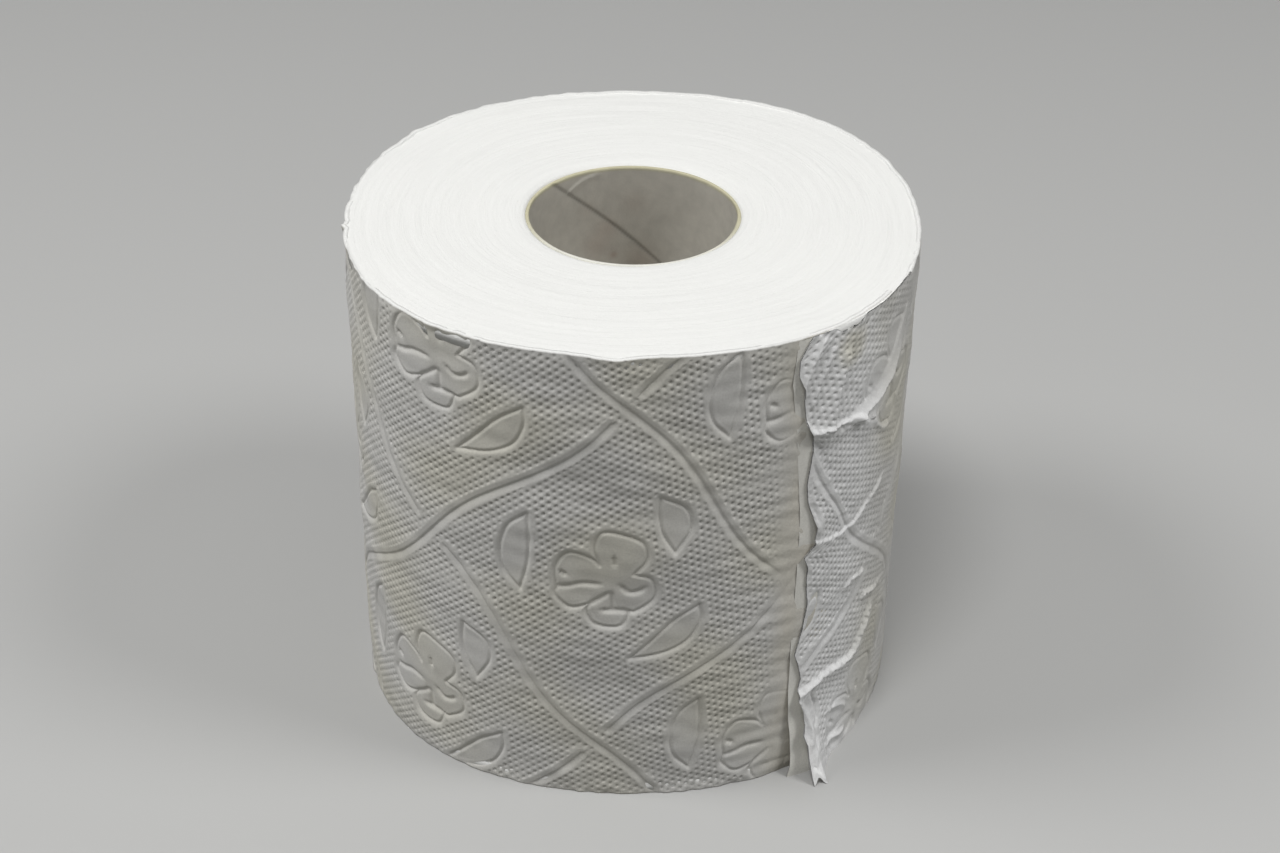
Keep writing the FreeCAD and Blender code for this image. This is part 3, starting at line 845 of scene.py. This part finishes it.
def build_face(name, material, upper, row_step, columns):
    """One end of the winding: the edges of all its turns, from the bore to the last turn."""
    angle = np.arange(columns) * FULL_TURN / columns
    edge = face_edge_radius(angle)
    rows = int((ROLL_RADIUS - PAPER_BORE) / row_step)
    share = np.linspace(1, 0, rows)
    s, a = np.meshgrid(share, angle)
    radius = PAPER_BORE + s * (edge[:, None] - PAPER_BORE)
    plain = PAPER_BORE + s * (ROLL_RADIUS - PAPER_BORE)
    x, y = radius * np.sin(a), -radius * np.cos(a)
    seed = FACE_SEEDS[0] if upper else FACE_SEEDS[1]
    turns = ripple((plain, x, y), TURN_SIZES, seed, TURN_WAVES)
    fine_turns = ripple((plain, x, y), FINE_TURN_SIZES, seed + 1, TURN_WAVES)
    relief = TURN_RELIEF * (turns + FINER_SHARE * fine_turns)
    relief += FACE_WAVE * ripple((x, y), FACE_WAVE_SIZES, seed + 2)
    from_edge, from_bore = edge[:, None] - radius, radius - PAPER_BORE
    for (fall, reach), distance in ((EDGE_FALL, from_edge), (BORE_FALL, from_bore)):
        relief -= fall * np.exp(-distance / reach)
    if upper:
        place, half_width, depth = RIM_DIP
        half_way_round = math.pi * ROLL_RADIUS
        from_dip = a * ROLL_RADIUS - pattern_place(place)
        from_dip = (from_dip + half_way_round) % (2 * half_way_round) - half_way_round
        relief -= depth * bell(from_dip, half_width) * np.exp(-from_edge / RIM_DIP_REACH)
        z = SHEET_WIDTH - FACE_LEVELS[0] + relief
        low = SHEET_WIDTH - FACE_DEPTH
    else:
        z = np.maximum(FACE_LEVELS[1] - relief, LEAST_CLEARANCE)
        low = FACE_DEPTH
    surface = np.stack([x, y, z], -1)
    outer_foot = np.stack([x[:, :1], y[:, :1], 0 * x[:, :1] + low], -1)
    inner_foot = np.stack([x[:, -1:], y[:, -1:], 0 * x[:, :1] + low], -1)
    loops = np.concatenate([outer_foot, surface, inner_foot], axis=1)
    if not upper:
        loops = loops[:, ::-1]
    normals = loop_normals(loops, True)
    piece = swept_mesh(name, loops, normals, "joined", np.broadcast_to(FACE_PAPER, loops.shape))
    turn = piece.data.attributes.new("turn", "FLOAT_VECTOR", "POINT")
    ends = [plain[:, :1], plain, plain[:, -1:]]
    across = np.concatenate(ends, axis=1)
    across = across if upper else across[:, ::-1]
    grain = np.stack([across, loops[..., 0], loops[..., 1]], -1)
    turn.data.foreach_set("vector", grain.astype(np.float32).ravel())
    dress(piece, material, "tissue", "wound_paper")


def seam_gap(angle, z):
    """Distance from the open seam of the inner ply, across it, less than 0 below it."""
    from_x = angle - math.pi / 2
    seam_height = CORE_LENGTH - SEAM_DROP_AT_BACK + SEAM_PITCH * (from_x - math.pi / 2) / FULL_TURN
    above_seam = (z - seam_height + SEAM_PITCH / 2) % SEAM_PITCH - SEAM_PITCH / 2
    slope = SEAM_PITCH / (FULL_TURN * (PAPER_BORE - CORE_WALL))
    return above_seam / math.sqrt(1 + slope**2)


def core_profile():
    """Radius and height of each row of the core's mesh, from its foot up its outside, then down inside."""
    bore = PAPER_BORE - CORE_WALL
    fine = np.linspace(CORE_CHAMFER, FINE_CORE_DEPTH, int(FINE_CORE_DEPTH / CORE_ROW_STEP))
    coarse_rows = int((CORE_LENGTH - FINE_CORE_DEPTH) / COARSE_CORE_ROW_STEP)
    coarse = np.linspace(FINE_CORE_DEPTH, CORE_LENGTH - CORE_CHAMFER, coarse_rows)[1:]
    inside = CORE_LENGTH - np.concatenate([fine, coarse])
    down, across = CORE_RIM_ROUNDING
    z = np.concatenate([[0.0, CORE_LENGTH - down, CORE_LENGTH - across, CORE_LENGTH], inside, [0.0]])
    outside = [PAPER_BORE, PAPER_BORE, PAPER_BORE - CORE_CHAMFER, bore + down]
    return np.concatenate([outside, np.full(len(inside), bore), [bore + CORE_CHAMFER]]), z


def build_core(material):
    bore = PAPER_BORE - CORE_WALL
    angle = np.arange(CORE_COLUMNS) * FULL_TURN / CORE_COLUMNS
    r, z = core_profile()
    a, z = np.meshgrid(angle, z, indexing="ij")
    wall = np.broadcast_to(r == bore, a.shape).astype(float)
    r = np.broadcast_to(r, a.shape).copy()
    gap = seam_gap(a, z)
    x, y = bore * np.sin(a), -bore * np.cos(a)
    r += wall * SEAM_DEPTH * bell(gap, SEAM_HALF_WIDTH)
    step_up = rise(gap, -PLY_STEP_SLOPE / 2, PLY_STEP_SLOPE)
    r -= wall * PLY_STEP * step_up * smooth_step(1 - gap / PLY_STEP_REACH)
    r += wall * CORE_WAVE * ripple((x, y, z), *CORE_FIELD)
    across, depth = (math.pi - a) * bore, CORE_LENGTH - z
    edge = mix(BOARD_EDGE, FACE_PAPER, RIM_PALENESS * smooth_step(-y / bore))
    at_top, per_share = RIM_TINT
    tints = mix(np.broadcast_to(BOARD, edge.shape), edge, smooth_step(at_top - depth / per_share))
    for place, drop, size, strength in STAINS:
        stain = np.exp(-((across - place) ** 2 + (depth - drop) ** 2) / size**2)
        tints = mix(tints, STAIN, strength * wall * stain)
    shade, half_width = SEAM_SHADE
    tints = tints * (1 - shade * (wall * bell(gap, half_width))[..., None])
    ply_gap, ply_side, _ = from_line(across, depth, np.array(PLY_EDGE))
    (step, reach), (strength, half_width) = PLY_EDGE_STEP, PLY_EDGE_LINE
    r -= wall * step * (ply_side > 0) * smooth_step(1 - ply_gap / reach)
    tints = mix(tints, PLY_EDGE_LIGHT, strength * wall * bell(ply_gap, half_width))
    loops = np.stack([r * np.sin(a), -r * np.cos(a), z], -1)
    piece = swept_mesh("core_board", loops, loop_normals(loops, True), "joined", tints)
    dress(piece, material, "core_board", "core_tube")


def new_material(name, roughness, specular=0.25):
    material = bpy.data.materials.new(name)
    material.use_nodes = True
    nodes, links = material.node_tree.nodes, material.node_tree.links
    shader = nodes["Principled BSDF"]
    shader.inputs["Roughness"].default_value = roughness
    shader.inputs["Specular IOR Level"].default_value = specular
    return material, nodes, links, shader


def noise_node(nodes, links, vector, scale, detail, roughness=0.55):
    noise = nodes.new("ShaderNodeTexNoise")
    for name, value in (("Scale", scale), ("Detail", detail), ("Roughness", roughness)):
        noise.inputs[name].default_value = value
    links.new(vector, noise.inputs["Vector"])
    return noise.outputs["Fac"]


def bump_node(nodes, links, height, distance, strength, below=None):
    bump = nodes.new("ShaderNodeBump")
    bump.inputs["Distance"].default_value = distance
    bump.inputs["Strength"].default_value = strength
    links.new(height, bump.inputs["Height"])
    if below is not None:
        links.new(below, bump.inputs["Normal"])
    return bump.outputs["Normal"]


def shade_by_noise(nodes, links, colour, noise, low, high):
    """The colour times a shade that runs from low to high with the usual range of the noise."""
    ramp = nodes.new("ShaderNodeMapRange")
    for name, value in (("From Min", 0.3), ("From Max", 0.7), ("To Min", low), ("To Max", high)):
        ramp.inputs[name].default_value = value
    links.new(noise, ramp.inputs["Value"])
    times = nodes.new("ShaderNodeVectorMath")
    times.operation = "SCALE"
    links.new(colour, times.inputs[0])
    links.new(ramp.outputs["Result"], times.inputs["Scale"])
    return times.outputs["Vector"]


def tint_node(nodes):
    tint = nodes.new("ShaderNodeAttribute")
    tint.attribute_name = "tint"
    return tint.outputs["Color"]


def tissue_material():
    material, nodes, links, shader = new_material("tissue_web", roughness=0.95)
    place = nodes.new("ShaderNodeTexCoord").outputs["Object"]
    fibre = noise_node(nodes, links, place, scale=2600.0, detail=4.0, roughness=0.7)
    cloud = noise_node(nodes, links, place, scale=160.0, detail=3.0)
    colour = shade_by_noise(nodes, links, tint_node(nodes), cloud, low=0.965, high=1.02)
    colour = shade_by_noise(nodes, links, colour, fibre, low=0.91, high=1.06)
    links.new(colour, shader.inputs["Base Color"])
    links.new(bump_node(nodes, links, fibre, distance=0.00012, strength=0.5), shader.inputs["Normal"])
    shader.inputs["Sheen Weight"].default_value = 0.08
    return material


def turns_material():
    material, nodes, links, shader = new_material("tissue_turns", roughness=0.95)
    turn = nodes.new("ShaderNodeAttribute")
    turn.attribute_name = "turn"
    stretch = nodes.new("ShaderNodeVectorMath")
    stretch.operation = "MULTIPLY"
    stretch.inputs[1].default_value = TURN_GRAIN
    links.new(turn.outputs["Vector"], stretch.inputs[0])
    streaks = noise_node(nodes, links, stretch.outputs["Vector"], scale=1.0, detail=4.0, roughness=0.65)
    place = nodes.new("ShaderNodeTexCoord").outputs["Object"]
    fibre = noise_node(nodes, links, place, scale=1800.0, detail=4.0, roughness=0.7)
    colour = shade_by_noise(nodes, links, tint_node(nodes), streaks, low=0.965, high=1.01)
    links.new(colour, shader.inputs["Base Color"])
    lines = bump_node(nodes, links, streaks, distance=0.00035, strength=0.5)
    rough = bump_node(nodes, links, fibre, distance=0.0002, strength=0.5, below=lines)
    links.new(rough, shader.inputs["Normal"])
    return material


def board_material():
    material, nodes, links, shader = new_material("grey_board", roughness=0.85)
    place = nodes.new("ShaderNodeTexCoord").outputs["Object"]
    mottle = noise_node(nodes, links, place, scale=420.0, detail=4.0, roughness=0.6)
    cloud = noise_node(nodes, links, place, scale=70.0, detail=2.0)
    fibre = noise_node(nodes, links, place, scale=2200.0, detail=3.0, roughness=0.7)
    colour = shade_by_noise(nodes, links, tint_node(nodes), mottle, low=0.93, high=1.06)
    colour = shade_by_noise(nodes, links, colour, cloud, low=0.92, high=1.06)
    links.new(colour, shader.inputs["Base Color"])
    links.new(bump_node(nodes, links, fibre, distance=0.0001, strength=0.4), shader.inputs["Normal"])
    return material


def build_floor():
    mesh = bpy.data.meshes.new("floor")
    corners = [(x * FLOOR_REACH, y * FLOOR_REACH, 0) for x, y in ((-1, -1), (1, -1), (1, 1), (-1, 1))]
    mesh.from_pydata(corners, [], [(0, 1, 2, 3)])
    floor = bpy.data.objects.new("floor", mesh)
    bpy.context.scene.collection.objects.link(floor)
    material, nodes, links, shader = new_material("pale_floor", roughness=0.7)
    seen = nodes.new("ShaderNodeMix")
    seen.data_type = "RGBA"
    seen.inputs["A"].default_value = FLOOR_BOUNCE
    seen.inputs["B"].default_value = FLOOR_SEEN
    path = nodes.new("ShaderNodeLightPath")
    links.new(path.outputs["Is Camera Ray"], seen.inputs["Factor"])
    links.new(seen.outputs["Result"], shader.inputs["Base Color"])
    mesh.materials.append(material)


def add_area(name, place, size, power):
    lamp = bpy.data.lights.new(name, "AREA")
    lamp.shape = "DISK"
    lamp.size = size
    lamp.energy = power
    light = bpy.data.objects.new(name, lamp)
    light.location = place
    towards = Vector(LIGHT_TARGET) - Vector(place)
    light.rotation_euler = towards.to_track_quat("-Z", "Y").to_euler()
    bpy.context.scene.collection.objects.link(light)


def light_scene():
    world = bpy.data.worlds.new("studio")
    bpy.context.scene.world = world
    world.use_nodes = True
    background = world.node_tree.nodes["Background"]
    background.inputs["Color"].default_value = (1.0, 1.0, 1.0, 1)
    background.inputs["Strength"].default_value = WORLD_STRENGTH
    for lamp in LAMPS:
        add_area(*lamp)
    bpy.context.scene.view_settings.view_transform = "Standard"


def add_camera():
    data = bpy.data.cameras.new("photo_camera")
    data.lens = LENS
    data.sensor_width = SENSOR
    data.sensor_fit = "HORIZONTAL"
    camera = bpy.data.objects.new("photo_camera", data)
    pitch, yaw, roll = CAMERA_PITCH, CAMERA_YAW, CAMERA_ROLL
    ahead = Vector((math.sin(yaw) * math.cos(pitch), math.cos(yaw) * math.cos(pitch), -math.sin(pitch)))
    level = Vector((math.cos(yaw), -math.sin(yaw), 0))
    above = level.cross(ahead)
    right = level * math.cos(roll) + above * math.sin(roll)
    up = above * math.cos(roll) - level * math.sin(roll)
    turn = Matrix((right, up, -ahead)).transposed().to_4x4()
    camera.matrix_world = Matrix.Translation((0, -CAMERA_DISTANCE * MM, CAMERA_HEIGHT * MM)) @ turn
    bpy.context.scene.collection.objects.link(camera)
    bpy.context.scene.camera = camera


add_camera()
light_scene()
build_floor()
tissue = tissue_material()
build_wall(tissue)
build_free_end(tissue)
build_second_ply(tissue)
turns = turns_material()
build_face("top_turns", turns, True, FACE_ROW_STEP, FACE_COLUMNS)
build_face("base_turns", turns, False, BASE_ROW_STEP, BASE_COLUMNS)
build_core(board_material())
